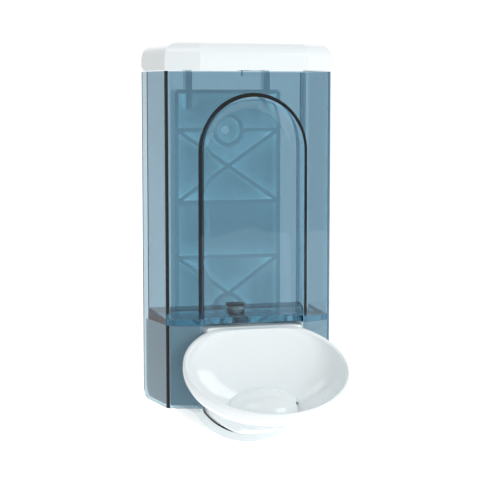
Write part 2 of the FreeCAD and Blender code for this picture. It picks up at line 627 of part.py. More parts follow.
def make_pump():
    along = ("0", "pump_height")
    upright = ("0", "-port_depth")
    outer = "pump_bore + pump_wall"
    case = rod("Y", outer, "-pump_front", "-pump_rear", *along)
    socket = rod("Z", "pipe_radius + pipe_socket", "pump_height", "pipe_foot + 5", *upright)
    bore = rod("Y", "pump_bore", "-pump_front - 1", "-pump_rear - pump_wall", *along)
    seat = rod("Z", "pipe_radius + seat_gap", "pipe_foot", "pipe_foot + 6", *upright)
    way = rod("Z", "ball_way", "pump_height", "pipe_foot + 1", *upright)
    keep(cut(fuse(case, socket), bore, seat, way), "pump_cylinder")

    ring = rod("Y", "cap_radius", "-pump_front - cap_over", "-pump_front + 1", *along)
    skirt = rod("Y", "cap_radius", "-pump_front", "-pump_front + cap_length + cap_over", *along)
    over = rod("Y", outer + " + seat_gap", "-pump_front - seat_gap", "-pump_front + 9", *along)
    guide = rod("Y", "rod_radius + running_gap", "-pump_front - cap_over - 1",
                "-pump_front + 1", *along)
    keep(cut(fuse(ring, skirt), over, guide), "pump_cap")

    head = rod("Y", "pump_bore - 0.1", "-head_place - head_length", "-head_place", *along)
    stem = rod("Y", "rod_radius", "-rod_end", "-head_place - 1", *along)
    collar = rod("Y", "collar_radius", "-collar_place", "-collar_place + collar_length", *along)
    way_out = rod("Y", "rod_bore", "-rod_end - 1", "-head_place + 1", *along)
    groove_end = "-head_place - head_length / 2 + ring_thick / 2 + 0.1"
    groove = cut(rod("Y", "pump_bore + 1", groove_end + " - ring_thick - 0.2", groove_end,
                     *along),
                 rod("Y", "pump_bore - ring_depth - ring_gap", "-head_place - head_length",
                     "-head_place", *along))
    keep(cut(fuse(head, stem, collar), way_out, groove), "piston")
    keep(cut(rod("Y", "pump_bore - ring_gap", groove_end + " - ring_thick - 0.1",
                 groove_end + " - 0.1", *along),
             rod("Y", "pump_bore - ring_depth", "-head_place - head_length", "-head_place",
                 *along)), "piston_ring")

    tip = rod("Y", "rod_radius + valve_wall", "-rod_end - valve_length",
              "-rod_end + valve_length", *along)
    tip_bore = rod("Y", "rod_radius + 0.02", "-rod_end - seat_gap",
                   "-rod_end + valve_length + 1", *along)
    tip_slit = block(("-slit_width / 2", "slit_width / 2"),
                     ("-rod_end - valve_length - 1", "-rod_end + 1"),
                     ("pump_height - slit_height / 2", "pump_height + slit_height / 2"))
    keep(cut(tip, tip_bore, tip_slit), "outlet_valve")

    tube = rod("Z", "pipe_radius", "pipe_foot + seat_gap", "pipe_top", *upright)
    flange_top = "(floor_height - gasket_thick - 2 * seat_gap)"
    flange = rod("Z", "gasket_radius", flange_top + " - flange_thick", flange_top, *upright)
    inside = rod("Z", "pipe_bore", "pipe_foot - 1", "pipe_top + 1", *upright)
    keep(cut(fuse(tube, flange), inside), "inlet_pipe")
    keep(cut(rod("Z", "gasket_radius", flange_top + " + seat_gap", "floor_height - seat_gap",
                 *upright),
             rod("Z", "pipe_radius + seat_gap", flange_top, "floor_height", *upright)),
         "port_gasket")
    plug = rod("Z", "strainer_radius", "pipe_top + seat_gap",
               "pipe_top + seat_gap + strainer_thick", *upright)
    holes = [rod("Z", "strainer_hole", "pipe_top - 1", "pipe_top + strainer_thick + 1",
                 "strainer_circle * cos(%d deg)" % angle,
                 "-port_depth + strainer_circle * sin(%d deg)" % angle)
             for angle in range(0, 360, 60)]
    keep(cut(plug, *holes), "port_strainer")
    keep(cut(rod("Z", "pipe_bore - 0.03", "seat_height", "seat_height + seat_thick", *upright),
             rod("Z", "seat_bore", "seat_height - 1", "seat_height + seat_thick + 1",
                 *upright)), "valve_seat")

    ball = doc.addObject("Part::Sphere", "ball")
    bind(ball, "Radius", "ball_radius")
    bind(ball, "Placement.Base.y", "-port_depth")
    bind(ball, "Placement.Base.z", "ball_height")
    keep(group(ball), "inlet_ball")


def make_spring():
    """The return spring between the piston's head and the cylinder's end, with closed ends."""
    radius = value_of("spring_radius")
    wire = value_of("spring_wire") / 2
    start = -value_of("head_place") + 2 * wire
    end = -value_of("pump_rear + pump_wall") - 2 * wire
    turns = value_of("spring_turns")
    helix = Part.makeHelix((end - start) / turns, end - start, radius)
    corners = [Vector(radius + wire * math.cos(a), 0, wire * math.sin(a))
               for a in (math.radians(45 * k) for k in range(9))]
    coil = Part.Wire(helix).makePipeShell([Part.makePolygon(corners)], True, True)
    coil.rotate(Vector(), Vector(1, 0, 0), -90)
    coil.translate(Vector(0, start, value_of("pump_height")))
    item = doc.addObject("Part::Feature", "spring_coil")
    item.Shape = coil
    keep(group(item), "return_spring")


TASKS = [make_tank, make_wall_plate, make_lid, make_lock, make_base, make_lever, make_hood,
         make_pump, make_spring]
for task in TASKS:
    task()
doc.recompute()


def check():
    """Stop if any object failed or any piece's shape is missing or broken."""
    for item in doc.Objects:
        bad = [state for state in item.State if state in ("Invalid", "Error")]
        if bad:
            raise RuntimeError("%s (%s): %s" % (item.Name, item.Label, bad))
    for item in nodes:
        if item.Shape.isNull() or not item.Shape.isValid() or not item.Shape.Solids:
            raise RuntimeError("%s has no valid solid" % item.Label)


check()
os.makedirs("parts", exist_ok=True)
for item in nodes:
    item.Shape.exportStep("parts/%s.step" % item.Label)
    print("%-18s solids %d volume %9.1f" % (item.Label, len(item.Shape.Solids),
                                            item.Shape.Volume))
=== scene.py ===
"""Looks for a wall-mounted soap dispenser: tinted clear tank, white lid, base and push dish.

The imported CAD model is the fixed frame. The operators below give every piece its material and
rebuild the pieces whose moulded shape needs a finer surface than the frame has.
The driving sizes are millimetres. The meshes and the stage are metres, in the frame's own
axes: +X right, +Y into the wall, +Z up.
"""

import math

import bpy
import numpy as np
from bpy.props import FloatProperty, FloatVectorProperty, PointerProperty, StringProperty
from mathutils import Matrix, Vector


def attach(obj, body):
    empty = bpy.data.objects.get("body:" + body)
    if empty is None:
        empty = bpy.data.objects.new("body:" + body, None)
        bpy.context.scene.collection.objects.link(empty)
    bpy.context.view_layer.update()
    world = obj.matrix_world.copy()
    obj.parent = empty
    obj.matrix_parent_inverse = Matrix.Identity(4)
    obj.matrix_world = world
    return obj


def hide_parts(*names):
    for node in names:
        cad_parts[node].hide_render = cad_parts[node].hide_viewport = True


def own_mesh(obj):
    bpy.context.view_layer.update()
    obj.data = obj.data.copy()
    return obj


bl_info = {
    "name": "Wall soap dispenser",
    "version": (1, 0, 0),
    "blender": (4, 5, 0),
    "location": "View3D > Sidebar > Dispenser",
    "description": "Builds the looks of a wall-mounted soap dispenser around its CAD frame",
    "category": "Object",
}

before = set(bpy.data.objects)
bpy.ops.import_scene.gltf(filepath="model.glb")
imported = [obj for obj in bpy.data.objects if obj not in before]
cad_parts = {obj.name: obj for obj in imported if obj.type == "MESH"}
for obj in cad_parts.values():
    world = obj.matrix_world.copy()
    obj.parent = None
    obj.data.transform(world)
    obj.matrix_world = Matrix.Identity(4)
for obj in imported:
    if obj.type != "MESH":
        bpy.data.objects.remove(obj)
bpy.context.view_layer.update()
MM = 0.001

# ---- driving sizes, millimetres ---------------------------------------------------------

ROW_LIFT = -108.0        # place of the skirt's lower edge in the frame, up its Z axis
LEVER_TOP = 47.6         # heights here are above that edge

DISH_CENTRE = np.array([0.0, -77.85, 25.5])   # middle of the dish's ellipsoid
DISH_HALF_LENGTH = 36.5  # along the lean
DISH_SINK = 29.0         # from the rim's plane down to the bottom
DISH_TILT = math.radians(42.5)
BACK_PLACE = -56.7       # depth of the dish's flat back at BACK_HEIGHT
BACK_HEIGHT = 43.4
BACK_LEAN = math.radians(8.5)
BACK_KNEE = 0.6          # softness where the ellipsoid meets the flat back, outside
KNEE_GROWTH = 4.2        # how much softer it is inside
TOP_GAP = 0.3            # the rim stays this far under the lever's top
TOP_FALL = 0.35          # share of the way inwards by which the rim falls
TOP_KNEE = 0.8           # softness of the rim's edge there
FAR_BEHIND = 1000.0      # depth given where a line misses the ellipsoid
DEPTH, HEIGHT = 1, 2     # the places of Y and Z in a point

LEVER_HALF = 30.5        # half the lever's width
LEVER_ARC = 37.3         # radius of the lever's lower edge, about LEVER_ARC_HEIGHT
LEVER_ARC_HEIGHT = 20.3
LEVER_REAR = -47.0
LEVER_WALL = 2.4
LEVER_EDGE = 1.6         # round-over between the lever's sides and its front
CORNER_POWER = 26.0      # the higher, the squarer the lever's top corners
NECK_FOOT = -17.0        # the neck's lowest height, and its front's depth there
NECK_FOOT_DEPTH = -58.6
NECK_SLOPE = 1.9         # how far the neck comes forwards for each unit of height
NECK_BURY = 1.1          # how deep the lever's front sits in the dish's wall

ROD_HEIGHT = 2.8         # the pump's axis
ROD_HOLE = 3.6           # radius of the slot that its rod passes through
ROD_SLOT = 3.4           # how much higher than round the slot is
SLOT_FRONT, SLOT_REAR = -77.0, -40.0

HOOD_CENTRE = (1.0, -67.0, -1.5)
HOOD_HALF = (24.5, 21.0, 13.5)
HOOD_ROOT = 1.0          # the hood's edge ends this far in from the dish's outside
SLIT_PLACE = (23.0, -78.5)       # x and depth of the slit's middle
SLIT_HALF = (6.5, 6.5)
SLIT_SINK = 3.0          # how far the slit's tool reaches under the dish's floor

SPRING_FRONT, SPRING_SEAT = -31.55, -15.75    # the spring's ends, free and fixed
SPRING_RADIUS = 4.9
SPRING_WIRE = 0.44       # the wire's radius

POLE_GAP = 0.004         # angle between a bowl's pole and its first ring
DOME_GAP = 0.01          # the same on the hood's dome
POLE = math.pi / 2 - POLE_GAP

# ---- stage sizes, metres ----------------------------------------------------------------

SWEEP_FRONT, SWEEP_BACK = -6.0, 4.0
SWEEP_HALF, SWEEP_TOP, SWEEP_BEND = 6.0, 6.0, 1.5
GLOW_LOW, GLOW_HIGH = -1.0, 3.0               # the sweep's glow is given between these places
# Painted light: the sweep glows like a lamp. The glow is dimmer at the far left and in a band
# from 1.12 to 1.62 on X, and that band darkens the tank's sides.
SWEEP_GLOW = ((-1.0, 0.22), (0.3, 0.45), (1.0, 0.45),
              (1.12, 0.26), (1.62, 0.26), (1.72, 0.45))     # place on X, and strength
SURROUND = 0.68          # strength of the white world
LAMPS = (("key", (1.1, -1.3, 0.7), 0.9, 7.0),              # name, place, size and watts
         ("top", (-0.5, -0.6, 1.3), 0.7, 2.0))
LAMP_AIM = Vector((0, -0.03, 0))


# ---- settings ---------------------------------------------------------------------------

class DispenserStudio(bpy.types.PropertyGroup):
    """Camera and floor."""
    camera_place: FloatVectorProperty(name="Camera place", description="Where the camera stands",
                                      default=(-0.390, -1.105, 0.074), unit="LENGTH")
    camera_yaw: FloatProperty(name="Yaw", description="Turn of the camera to the right of +Y",
                              default=math.radians(20.0), subtype="ANGLE")
    camera_pitch: FloatProperty(name="Pitch", description="Tilt of the camera below the horizon",
                                default=math.radians(4.3), subtype="ANGLE")
    lens: FloatProperty(name="Lens", description="Focal length on a 36 mm sensor",
                        default=141.6)
    floor_drop: FloatProperty(name="Floor drop", description="Floor below the wall mount",
                              default=0.45, unit="LENGTH")
    floor_colour: StringProperty(name="Floor", description="Floor and sweep, sRGB hex",
                                 default="FFFFFF")


class DispenserFinish(bpy.types.PropertyGroup):
    """Colours of the mouldings, sRGB hex."""
    tint: StringProperty(name="Tank tint", description="Colour that one tank wall lets through",
                         default="3CB3CA")
    white: StringProperty(name="White", description="Glossy white of lid and dish",
                          default="F3FAFC")
    base_white: StringProperty(name="Base white", description="Satin white of base and plate",
                               default="F0F8FA")


class DispenserSizes(bpy.types.PropertyGroup):
    """Sizes of the new pieces, millimetres."""
    dish_width: FloatProperty(name="Dish width", description="Width over the dish's rim, mm",
                              default=102.0)
    dish_wall: FloatProperty(name="Dish wall", description="Thickness of the dish, mm",
                             default=2.5)
    hood_wall: FloatProperty(name="Hood wall", description="Thickness of the hood, mm",
                             default=1.5)
    slit_height: FloatProperty(name="Slit height", description="Height of the hood's slit, mm",
                               default=6.5)
    spring_turns: FloatProperty(name="Spring turns", description="Open turns of the spring",
                                default=4.5)


# ---- shared helpers ---------------------------------------------------------------------

def linear(code):
    """The linear RGBA of an sRGB hex colour: each channel below 0.04045 is divided by 12.92,
    and the rest follow the 2.4 power curve."""
    channels = [int(code[i:i + 2], 16) / 255 for i in (0, 2, 4)]
    return tuple(c / 12.92 if c <= 0.04045 else ((c + 0.055) / 1.055) ** 2.4
                 for c in channels) + (1.0,)


def add(tree, kind, settings=None, inputs=None, links=None):
    """Add a node: attributes from settings, socket values from inputs, and links as
    {socket: (node, output)}."""
    node = tree.nodes.new(kind)
    for name, value in (settings or {}).items():
        setattr(node, name, value)
    for name, value in (inputs or {}).items():
        node.inputs[name].default_value = value
    for name, (source, output) in (links or {}).items():
        tree.links.new(source.outputs[output], node.inputs[name])
    return node


def new_material(name):
    """An empty node material and its output node."""
    material = bpy.data.materials.new(name)
    material.use_nodes = True
    material.node_tree.nodes.clear()
    return material, material.node_tree, add(material.node_tree, "ShaderNodeOutputMaterial")


def dress(item, material):
    """Give a piece one material."""
    item.data.materials.clear()
    item.data.materials.append(material)


# ---- surfaces ---------------------------------------------------------------------------

def soft_min(value, limit, reach):
    """The smaller of value and limit, rounded off where they cross: limit minus a softplus of
    (limit - value), whose knee is about three reaches wide."""
    return limit - reach * np.logaddexp(0.0, (limit - value) / reach)


def closed_mesh(name, rings):
    """A closed mesh from an array of rings (rows, columns, 3). The first and last rings shrink
    to poles, and the faces are turned outwards by the sign of the enclosed volume."""
    rows, columns = rings.shape[:2]
    points = np.concatenate([rings.reshape(-1, 3), rings[:1].mean(axis=1),
                             rings[-1:].mean(axis=1)])
    here = np.arange(columns)
    ahead = (here + 1) % columns
    row = np.arange(rows - 1)[:, None] * columns
    quads = np.stack([row + here, row + ahead, row + columns + ahead, row + columns + here],
                     axis=2).reshape(-1, 4)
    first, last = rows * columns, rows * columns + 1
    end = (rows - 1) * columns
    fans = [np.stack([np.full(columns, first), ahead, here], axis=1),
            np.stack([np.full(columns, last), end + here, end + ahead], axis=1)]
    a, b, c, d = (points[quads[:, i]] for i in range(4))
    volume = np.einsum("ij,ij->", a, np.cross(b, c)) + np.einsum("ij,ij->", a, np.cross(c, d))
    faces = quads.tolist() + fans[0].tolist() + fans[1].tolist()
    if volume < 0:
        faces = [face[::-1] for face in faces]
    mesh = bpy.data.meshes.new(name)
    mesh.from_pydata(points.tolist(), [], faces)
    mesh.update()
    item = bpy.data.objects.new(name, mesh)
    bpy.context.scene.collection.objects.link(item)
    return item


def combine(item, tool, operation):
    """Apply an exact union, difference or intersection with another closed piece, which is then
    removed."""
    change = item.modifiers.new("combine", "BOOLEAN")
    change.object = tool
    change.operation = operation
    change.solver = "EXACT"
    graph = bpy.context.evaluated_depsgraph_get()
    made = bpy.data.meshes.new_from_object(item.evaluated_get(graph))
    item.modifiers.clear()
    item.data = made
    bpy.data.objects.remove(tool)
    return item


def smooth(item, angle=30.0):
    """Smooth shading, with a sharp edge where two faces turn by more than the angle."""
    item.data.polygons.foreach_set("use_smooth", [True] * len(item.data.polygons))
    item.data.set_sharp_from_angle(angle=math.radians(angle))
    return item


# ---- push dish --------------------------------------------------------------------------

class DishShape:
    """The dish: half an ellipsoid that leans forwards, with a flat back behind it."""

    def __init__(self, sizes):
        self.half = (sizes.dish_width / 2, DISH_HALF_LENGTH, DISH_SINK)
        self.wall = sizes.dish_wall
        self.along = np.array([0.0, math.cos(DISH_TILT), math.sin(DISH_TILT)])
        self.up = np.array([0.0, -math.sin(DISH_TILT), math.cos(DISH_TILT)])


def dish_back(height, forward=0.0):
    """Depth of the dish's flat back: a plane that leans forwards on the way down."""
    return BACK_PLACE - forward + (height - BACK_HEIGHT) * math.tan(BACK_LEAN)


def dish_root(shape, x, given, known, wanted, side, less=0.0):
    """Where a line along the wanted axis meets the ellipsoid, less all round: x and the known
    axis are given, and the place is a root of a quadratic, the larger for side +1 and the
    smaller for -1. Also says where the line meets the ellipsoid at all."""
    a, b, c = (half - less for half in shape.half)
    away = given - DISH_CENTRE[known]
    along, up = shape.along, shape.up
    square = (along[wanted] / b) ** 2 + (up[wanted] / c) ** 2
    cross = away * (along[1] * along[2] / b ** 2 + up[1] * up[2] / c ** 2)
    rest = (x / a) ** 2 + (along[known] * away / b) ** 2 + (up[known] * away / c) ** 2 - 1
    inside = cross ** 2 - square * rest
    root = (-cross + side * np.sqrt(np.maximum(inside, 0))) / square
    return DISH_CENTRE[wanted] + root, inside > 0


def dish_under(shape, x, height):
    """Depth of the dish's underside: the ellipsoid's larger root in depth, and far behind the
    dish where the line misses it."""
    depth, met = dish_root(shape, x, height, HEIGHT, DEPTH, 1)
    return np.where(met, depth, FAR_BEHIND)


def dish_floor(shape, x, depth, less):
    """Height of the dish's floor: the smaller root in height of an ellipsoid less all round."""
    return dish_root(shape, x, depth, DEPTH, HEIGHT, -1, less)[0]


def bowl_rings(shape, inward, bend, crown):
    """Rings of the leaning ellipsoid, one per latitude in bend (90 degrees at the pole, 0 at the
    rim), each moved inwards, and raised by crown. Depth and height are soft-limited by the flat
    back and the top."""
    turn = np.linspace(0, 2 * math.pi, 224, endpoint=False)
    half_width, half_length, sink = shape.half
    a = ((half_width - inward) * np.cos(bend))[:, None]
    b = ((half_length - inward) * np.cos(bend))[:, None]
    c = ((sink - inward) * np.sin(bend) - crown)[:, None]
    x = a * np.cos(turn)
    flat = (b * np.sin(turn))[..., None] * shape.along - (c + 0 * x)[..., None] * shape.up
    y, z = flat[..., 1] + DISH_CENTRE[1], flat[..., 2] + DISH_CENTRE[2]
    z = soft_min(z, LEVER_TOP - TOP_FALL * inward[:, None] - TOP_GAP, TOP_KNEE)
    knee = (BACK_KNEE + KNEE_GROWTH * inward / shape.wall)[:, None]
    y = soft_min(y, dish_back(z, inward[:, None]), knee)
    return np.stack([x, y, ROW_LIFT + z], axis=2) * MM


def make_bowl(shape):
    """Bowl: rings from the outer pole up to the rim, over a half-round lip and down to the
    inner pole."""
    rise = np.linspace(POLE, 0, 56)[:-1]
    lip = np.linspace(0, 1, 11)
    inward = np.concatenate([np.zeros(len(rise)), lip, np.ones(len(rise))]) * shape.wall
    bend = np.concatenate([rise, np.zeros(len(lip)), rise[::-1]])
    crown = np.concatenate([0 * rise, np.sin(math.pi * lip), 0 * rise]) * shape.wall / 2
    return closed_mesh("push_dish", bowl_rings(shape, inward, bend, crown))


def lever_outline(inset):
    """Front outline of the lever: upright sides that end in the pan's arc, under a flat top
    with round corners. The sides, the top and the arc each limit the reach at an angle about
    the middle, and a high-power sum of 1 / limit blends them. Returns x and height."""
    half, radius, top = LEVER_HALF - inset, LEVER_ARC - inset, LEVER_TOP - inset
    angle = np.linspace(0, 2 * math.pi, 180, endpoint=False)
    cx, cz = np.cos(angle), np.sin(angle)
    limits = (np.abs(cx) / half, np.maximum(cz, 0) / (top - LEVER_ARC_HEIGHT),
              np.sqrt(cx ** 2 + cz ** 2) / radius * (cz < 0))
    reach = sum(limit ** CORNER_POWER for limit in limits) ** (-1 / CORNER_POWER)
    return reach * cx, LEVER_ARC_HEIGHT + reach * cz


def neck_front(shape, x, height):
    """Depth of the lever's front: it slopes forwards on the way up from the pan's gap until it
    is buried in the dish's wall, and above the dish it stays just behind the flat back."""
    slope = NECK_FOOT_DEPTH - (height - NECK_FOOT) * NECK_SLOPE
    wall = np.minimum(dish_under(shape, x, height), dish_back(height)) - NECK_BURY
    return np.maximum(slope, wall)


def lever_rings(shape, inset):
    """Rings of one side of the lever's wall, inset from its outside: along the sides from the
    rear edge, over the rounded edge by a quarter circle, and across the front to its middle."""
    rings = []
    x, z = lever_outline(inset)
    front = neck_front(shape, x, z) + LEVER_EDGE + inset
    for share in (0.0, 0.4, 0.8):
        rings.append((x, LEVER_REAR + (front - LEVER_REAR) * share, z))
    for angle in np.linspace(0, math.pi / 2, 6):
        x, z = lever_outline(inset + LEVER_EDGE * (1 - math.cos(angle)))
        front = neck_front(shape, x, z) + LEVER_EDGE * (1 - math.sin(angle)) + inset
        rings.append((x, front, z))
    x0, z0 = lever_outline(inset + LEVER_EDGE)
    for share in np.linspace(0.94, 0.03, 26):
        x, z = x0 * share, LEVER_ARC_HEIGHT + (z0 - LEVER_ARC_HEIGHT) * share
        rings.append((x, neck_front(shape, x, z) + inset, z))
    return rings


def make_lever_body(shape):
    """Lever body: rings from the front's middle outwards to the rear edge, and back inside one
    wall further in, for the hollow behind."""
    rings = lever_rings(shape, 0.0)[::-1] + lever_rings(shape, LEVER_WALL)
    points = np.array([np.stack([x, y, ROW_LIFT + z], axis=1) for x, y, z in rings])
    return closed_mesh("lever_body", points * MM)


def make_slot_tool():
    """The slot that the pump's rod slides in: a stadium carried straight back."""
    angle = np.linspace(0, 2 * math.pi, 48, endpoint=False)
    x = ROD_HOLE * np.cos(angle)
    z = ROD_HEIGHT + ROD_HOLE * np.sin(angle) + np.where(np.sin(angle) > 0, ROD_SLOT, 0)
    rings = np.array([np.stack([x, np.full_like(x, y), ROW_LIFT + z], axis=1)
                      for y in np.linspace(SLOT_FRONT, SLOT_REAR, 4)])
    return closed_mesh("slot_tool", rings * MM)


# ---- spout hood -------------------------------------------------------------------------

def make_hollow(shape):
    """The space inside the bowl, from within its wall inwards, closed at the rim."""
    bend = np.linspace(POLE, 0, 48)
    inward = np.full_like(bend, HOOD_ROOT)
    return closed_mesh("hollow", bowl_rings(shape, inward, bend, 0 * bend))


def make_dome(name, less):
    """An ellipsoid, rings from its crown to its foot, smaller by less all round."""
    turn = np.linspace(0, 2 * math.pi, 128, endpoint=False)
    fall = np.linspace(DOME_GAP, math.pi - DOME_GAP, 72)[:, None]
    x = HOOD_CENTRE[0] + (HOOD_HALF[0] - less) * np.sin(fall) * np.cos(turn)
    y = HOOD_CENTRE[1] + (HOOD_HALF[1] - less) * np.sin(fall) * np.sin(turn)
    z = HOOD_CENTRE[2] + (HOOD_HALF[2] - less) * np.cos(fall) + 0 * x
    return closed_mesh(name, np.stack([x, y, ROW_LIFT + z], axis=2) * MM)


def make_slit_tool(shape, height):
    """The slit's tool: a round column from under the dish's floor up to a height above it,
    whose ends follow the floor."""
    angle = np.linspace(0, 2 * math.pi, 40, endpoint=False)
    x = SLIT_PLACE[0] + SLIT_HALF[0] * np.cos(angle)
    y = SLIT_PLACE[1] + SLIT_HALF[1] * np.sin(angle)
    floor = dish_floor(shape, x, y, shape.wall)
    rings = np.array([np.stack([x, y, ROW_LIFT + (floor + lift)], axis=1)
                      for lift in (-SLIT_SINK, 0.0, height)])
    return closed_mesh("slit_tool", rings * MM)


def make_hood(shape, wall, slit_height):
    """Hood: the part of a dome that is inside the bowl, hollowed from below and behind, with a
    slit where its right end lifts off the dish."""
    item = combine(make_dome("hood", 0.0), make_hollow(shape), "INTERSECT")
    combine(item, make_dome("hood_hollow", wall), "DIFFERENCE")
    return combine(item, make_slit_tool(shape, slit_height), "DIFFERENCE")


# ---- return spring ----------------------------------------------------------------------

def make_spring(open_turns):
    """Coil: rings of round wire along a helix about the pump's axis, whose first and last turns
    advance by one wire thickness so that they lie closed."""
    turns = open_turns + 2
    turn = np.linspace(0, turns, 640)
    first, last = SPRING_FRONT + SPRING_WIRE, SPRING_SEAT - SPRING_WIRE
    y = np.interp(turn, (0, 1, turns - 1, turns),
                  (first, first + 2 * SPRING_WIRE, last - 2 * SPRING_WIRE, last))[:, None]
    angle = (2 * math.pi * turn)[:, None]
    around = np.linspace(0, 2 * math.pi, 14, endpoint=False)
    reach = SPRING_RADIUS + SPRING_WIRE * np.cos(around)
    rings = np.stack([reach * np.cos(angle), y + SPRING_WIRE * np.sin(around),
                      ROW_LIFT + ROD_HEIGHT + reach * np.sin(angle)], axis=2)
    return closed_mesh("spring_coil", rings * MM)


# ---- materials --------------------------------------------------------------------------

CLOUD_SHADE = 0.955      # how much darker a moulding's clouds are
GLOSS_LOW, GLOSS_HIGH = 0.85, 1.2    # the spread of its roughness


def tinted_san(code):
    """Tinted clear SAN, injection moulded: glossy, faintly wavy, darker where it is thick. It
    lets the lamps' light through, so that what stands behind it is lit."""
    material, tree, out = new_material("tinted_clear_san")
    place = add(tree, "ShaderNodeTexCoord")
    flow = add(tree, "ShaderNodeTexNoise", inputs={"Scale": 1 / (28 * MM), "Detail": 1.0},
               links={"Vector": (place, "Object")})
    wave = add(tree, "ShaderNodeBump", inputs={"Strength": 0.25, "Distance": 0.25 * MM},
               links={"Height": (flow, "Fac")})
    skin = add(tree, "ShaderNodeBsdfPrincipled",
               inputs={"Base Color": linear("B6CCD7"), "Roughness": 0.02, "IOR": 1.5,
                       "Specular IOR Level": 0.25, "Transmission Weight": 1.0},
               links={"Normal": (wave, "Normal")})
    body = add(tree, "ShaderNodeVolumeAbsorption",
               inputs={"Color": linear(code), "Density": 0.045 / MM})
    path = add(tree, "ShaderNodeLightPath")
    solid = add(tree, "ShaderNodeMath", {"operation": "SUBTRACT"}, {0: 1.0},
                {1: (path, "Is Shadow Ray")})
    tree.links.new(solid.outputs["Value"], skin.inputs["Alpha"])
    tree.links.new(skin.outputs["BSDF"], out.inputs["Surface"])
    tree.links.new(body.outputs["Volume"], out.inputs["Volume"])
    return material


def moulded(name, code, roughness, grain, depth, coat=0.0, ior=1.5, painted_glow=0.0):
    """A moulded plastic: one colour with a faint cloudiness, a grain whose size and depth are
    in millimetres, and a slightly uneven gloss. Given a glow strength, it also glows by that
    much on all but its rear, as painted light that brightens it as lamps would. The grain is
    drawn coarser than a real moulding's, so that it shows."""
    material, tree, out = new_material(name)
    place = add(tree, "ShaderNodeTexCoord")
    cloud = add(tree, "ShaderNodeTexNoise", inputs={"Scale": 1 / (35 * MM), "Detail": 2.0},
                links={"Vector": (place, "Object")})
    colour = linear(code)
    shade = tuple(CLOUD_SHADE * c for c in colour[:3]) + (1.0,)
    mix = add(tree, "ShaderNodeMix", {"data_type": "RGBA"}, {6: colour, 7: shade},
              {"Factor": (cloud, "Fac")})
    fine = add(tree, "ShaderNodeTexNoise", inputs={"Scale": 1 / (grain * MM), "Detail": 3.0},
               links={"Vector": (place, "Object")})
    bump = add(tree, "ShaderNodeBump", inputs={"Strength": 0.3, "Distance": depth * MM},
               links={"Height": (fine, "Fac")})
    gloss = add(tree, "ShaderNodeMapRange",
                inputs={"To Min": roughness * GLOSS_LOW, "To Max": roughness * GLOSS_HIGH},
                links={"Value": (cloud, "Fac")})
    # The emission colour is the colour of the painted glow, and gives no light without a glow.
    skin = add(tree, "ShaderNodeBsdfPrincipled",
               inputs={"IOR": ior, "Coat Weight": coat, "Coat Roughness": 0.05,
                       "Emission Color": linear("E6FFFF")},
               links={"Normal": (bump, "Normal"), "Roughness": (gloss, "Result")})
    # Painted light: faces that do not face the wall (+Y) glow up to the given strength, which
    # brightens the piece as if it were lit.
    if painted_glow:
        facing = add(tree, "ShaderNodeSeparateXYZ", links={"Vector": (place, "Normal")})
        front = add(tree, "ShaderNodeMapRange",
                    inputs={"From Min": 0.95, "From Max": 0.5, "To Min": 0.0, "To Max": painted_glow},
                    links={"Value": (facing, "Y")})
        tree.links.new(front.outputs["Result"], skin.inputs["Emission Strength"])
    tree.links.new(mix.outputs[2], skin.inputs["Base Color"])
    tree.links.new(skin.outputs["BSDF"], out.inputs["Surface"])
    return material


def brushed_steel():
    """Stainless steel: bright metal whose gloss is broken by fine turning lines, which are
    drawn coarser than real ones, so that they show."""
    material, tree, out = new_material("stainless_steel")
    place = add(tree, "ShaderNodeTexCoord")
    lines = add(tree, "ShaderNodeMapping", inputs={"Scale": (1.0, 0.12, 1.0)},
                links={"Vector": (place, "Object")})
    grain = add(tree, "ShaderNodeTexNoise", inputs={"Scale": 1 / (0.25 * MM), "Detail": 4.0},
                links={"Vector": (lines, "Vector")})
    gloss = add(tree, "ShaderNodeMapRange", inputs={"To Min": 0.16, "To Max": 0.34},
                links={"Value": (grain, "Fac")})
    bump = add(tree, "ShaderNodeBump", inputs={"Strength": 0.2, "Distance": 0.01 * MM},
               links={"Height": (grain, "Fac")})
    skin = add(tree, "ShaderNodeBsdfPrincipled",
               inputs={"Base Color": linear("C6C8C9"), "Metallic": 1.0},
               links={"Roughness": (gloss, "Result"), "Normal": (bump, "Normal")})
    tree.links.new(skin.outputs["BSDF"], out.inputs["Surface"])
    return material


def milky_silicone():
    """Silicone rubber: milky and half clear, with a soft sheen and faint clouds, drawn large
    enough to show."""
    material, tree, out = new_material("clear_silicone")
    place = add(tree, "ShaderNodeTexCoord")
    cloud = add(tree, "ShaderNodeTexNoise", inputs={"Scale": 1 / (4 * MM), "Detail": 3.0},
                links={"Vector": (place, "Object")})
    gloss = add(tree, "ShaderNodeMapRange", inputs={"To Min": 0.28, "To Max": 0.45},
                links={"Value": (cloud, "Fac")})
    bump = add(tree, "ShaderNodeBump", inputs={"Strength": 0.2, "Distance": 0.03 * MM},
               links={"Height": (cloud, "Fac")})
    skin = add(tree, "ShaderNodeBsdfPrincipled",
               inputs={"Base Color": linear("EEF2F0"), "Transmission Weight": 0.55,
                       "IOR": 1.41},
               links={"Roughness": (gloss, "Result"), "Normal": (bump, "Normal")})
    tree.links.new(skin.outputs["BSDF"], out.inputs["Surface"])
    return material


# ---- stage ------------------------------------------------------------------------------

def make_camera(studio):
    """The camera, looking ahead by its yaw and down by its pitch."""
    data = bpy.data.cameras.new("camera")
    data.sensor_width = 36.0
    data.lens = studio.lens
    data.clip_start = 0.05
    data.clip_end = 50.0
    item = bpy.data.objects.new("camera", data)
    bpy.context.scene.collection.objects.link(item)
    item.location = studio.camera_place
    yaw, pitch = studio.camera_yaw, studio.camera_pitch
    ahead = Vector((math.sin(yaw) * math.cos(pitch), math.cos(yaw) * math.cos(pitch),
                    -math.sin(pitch)))
    item.rotation_euler = ahead.to_track_quat("-Z", "Y").to_euler()
    bpy.context.scene.camera = item


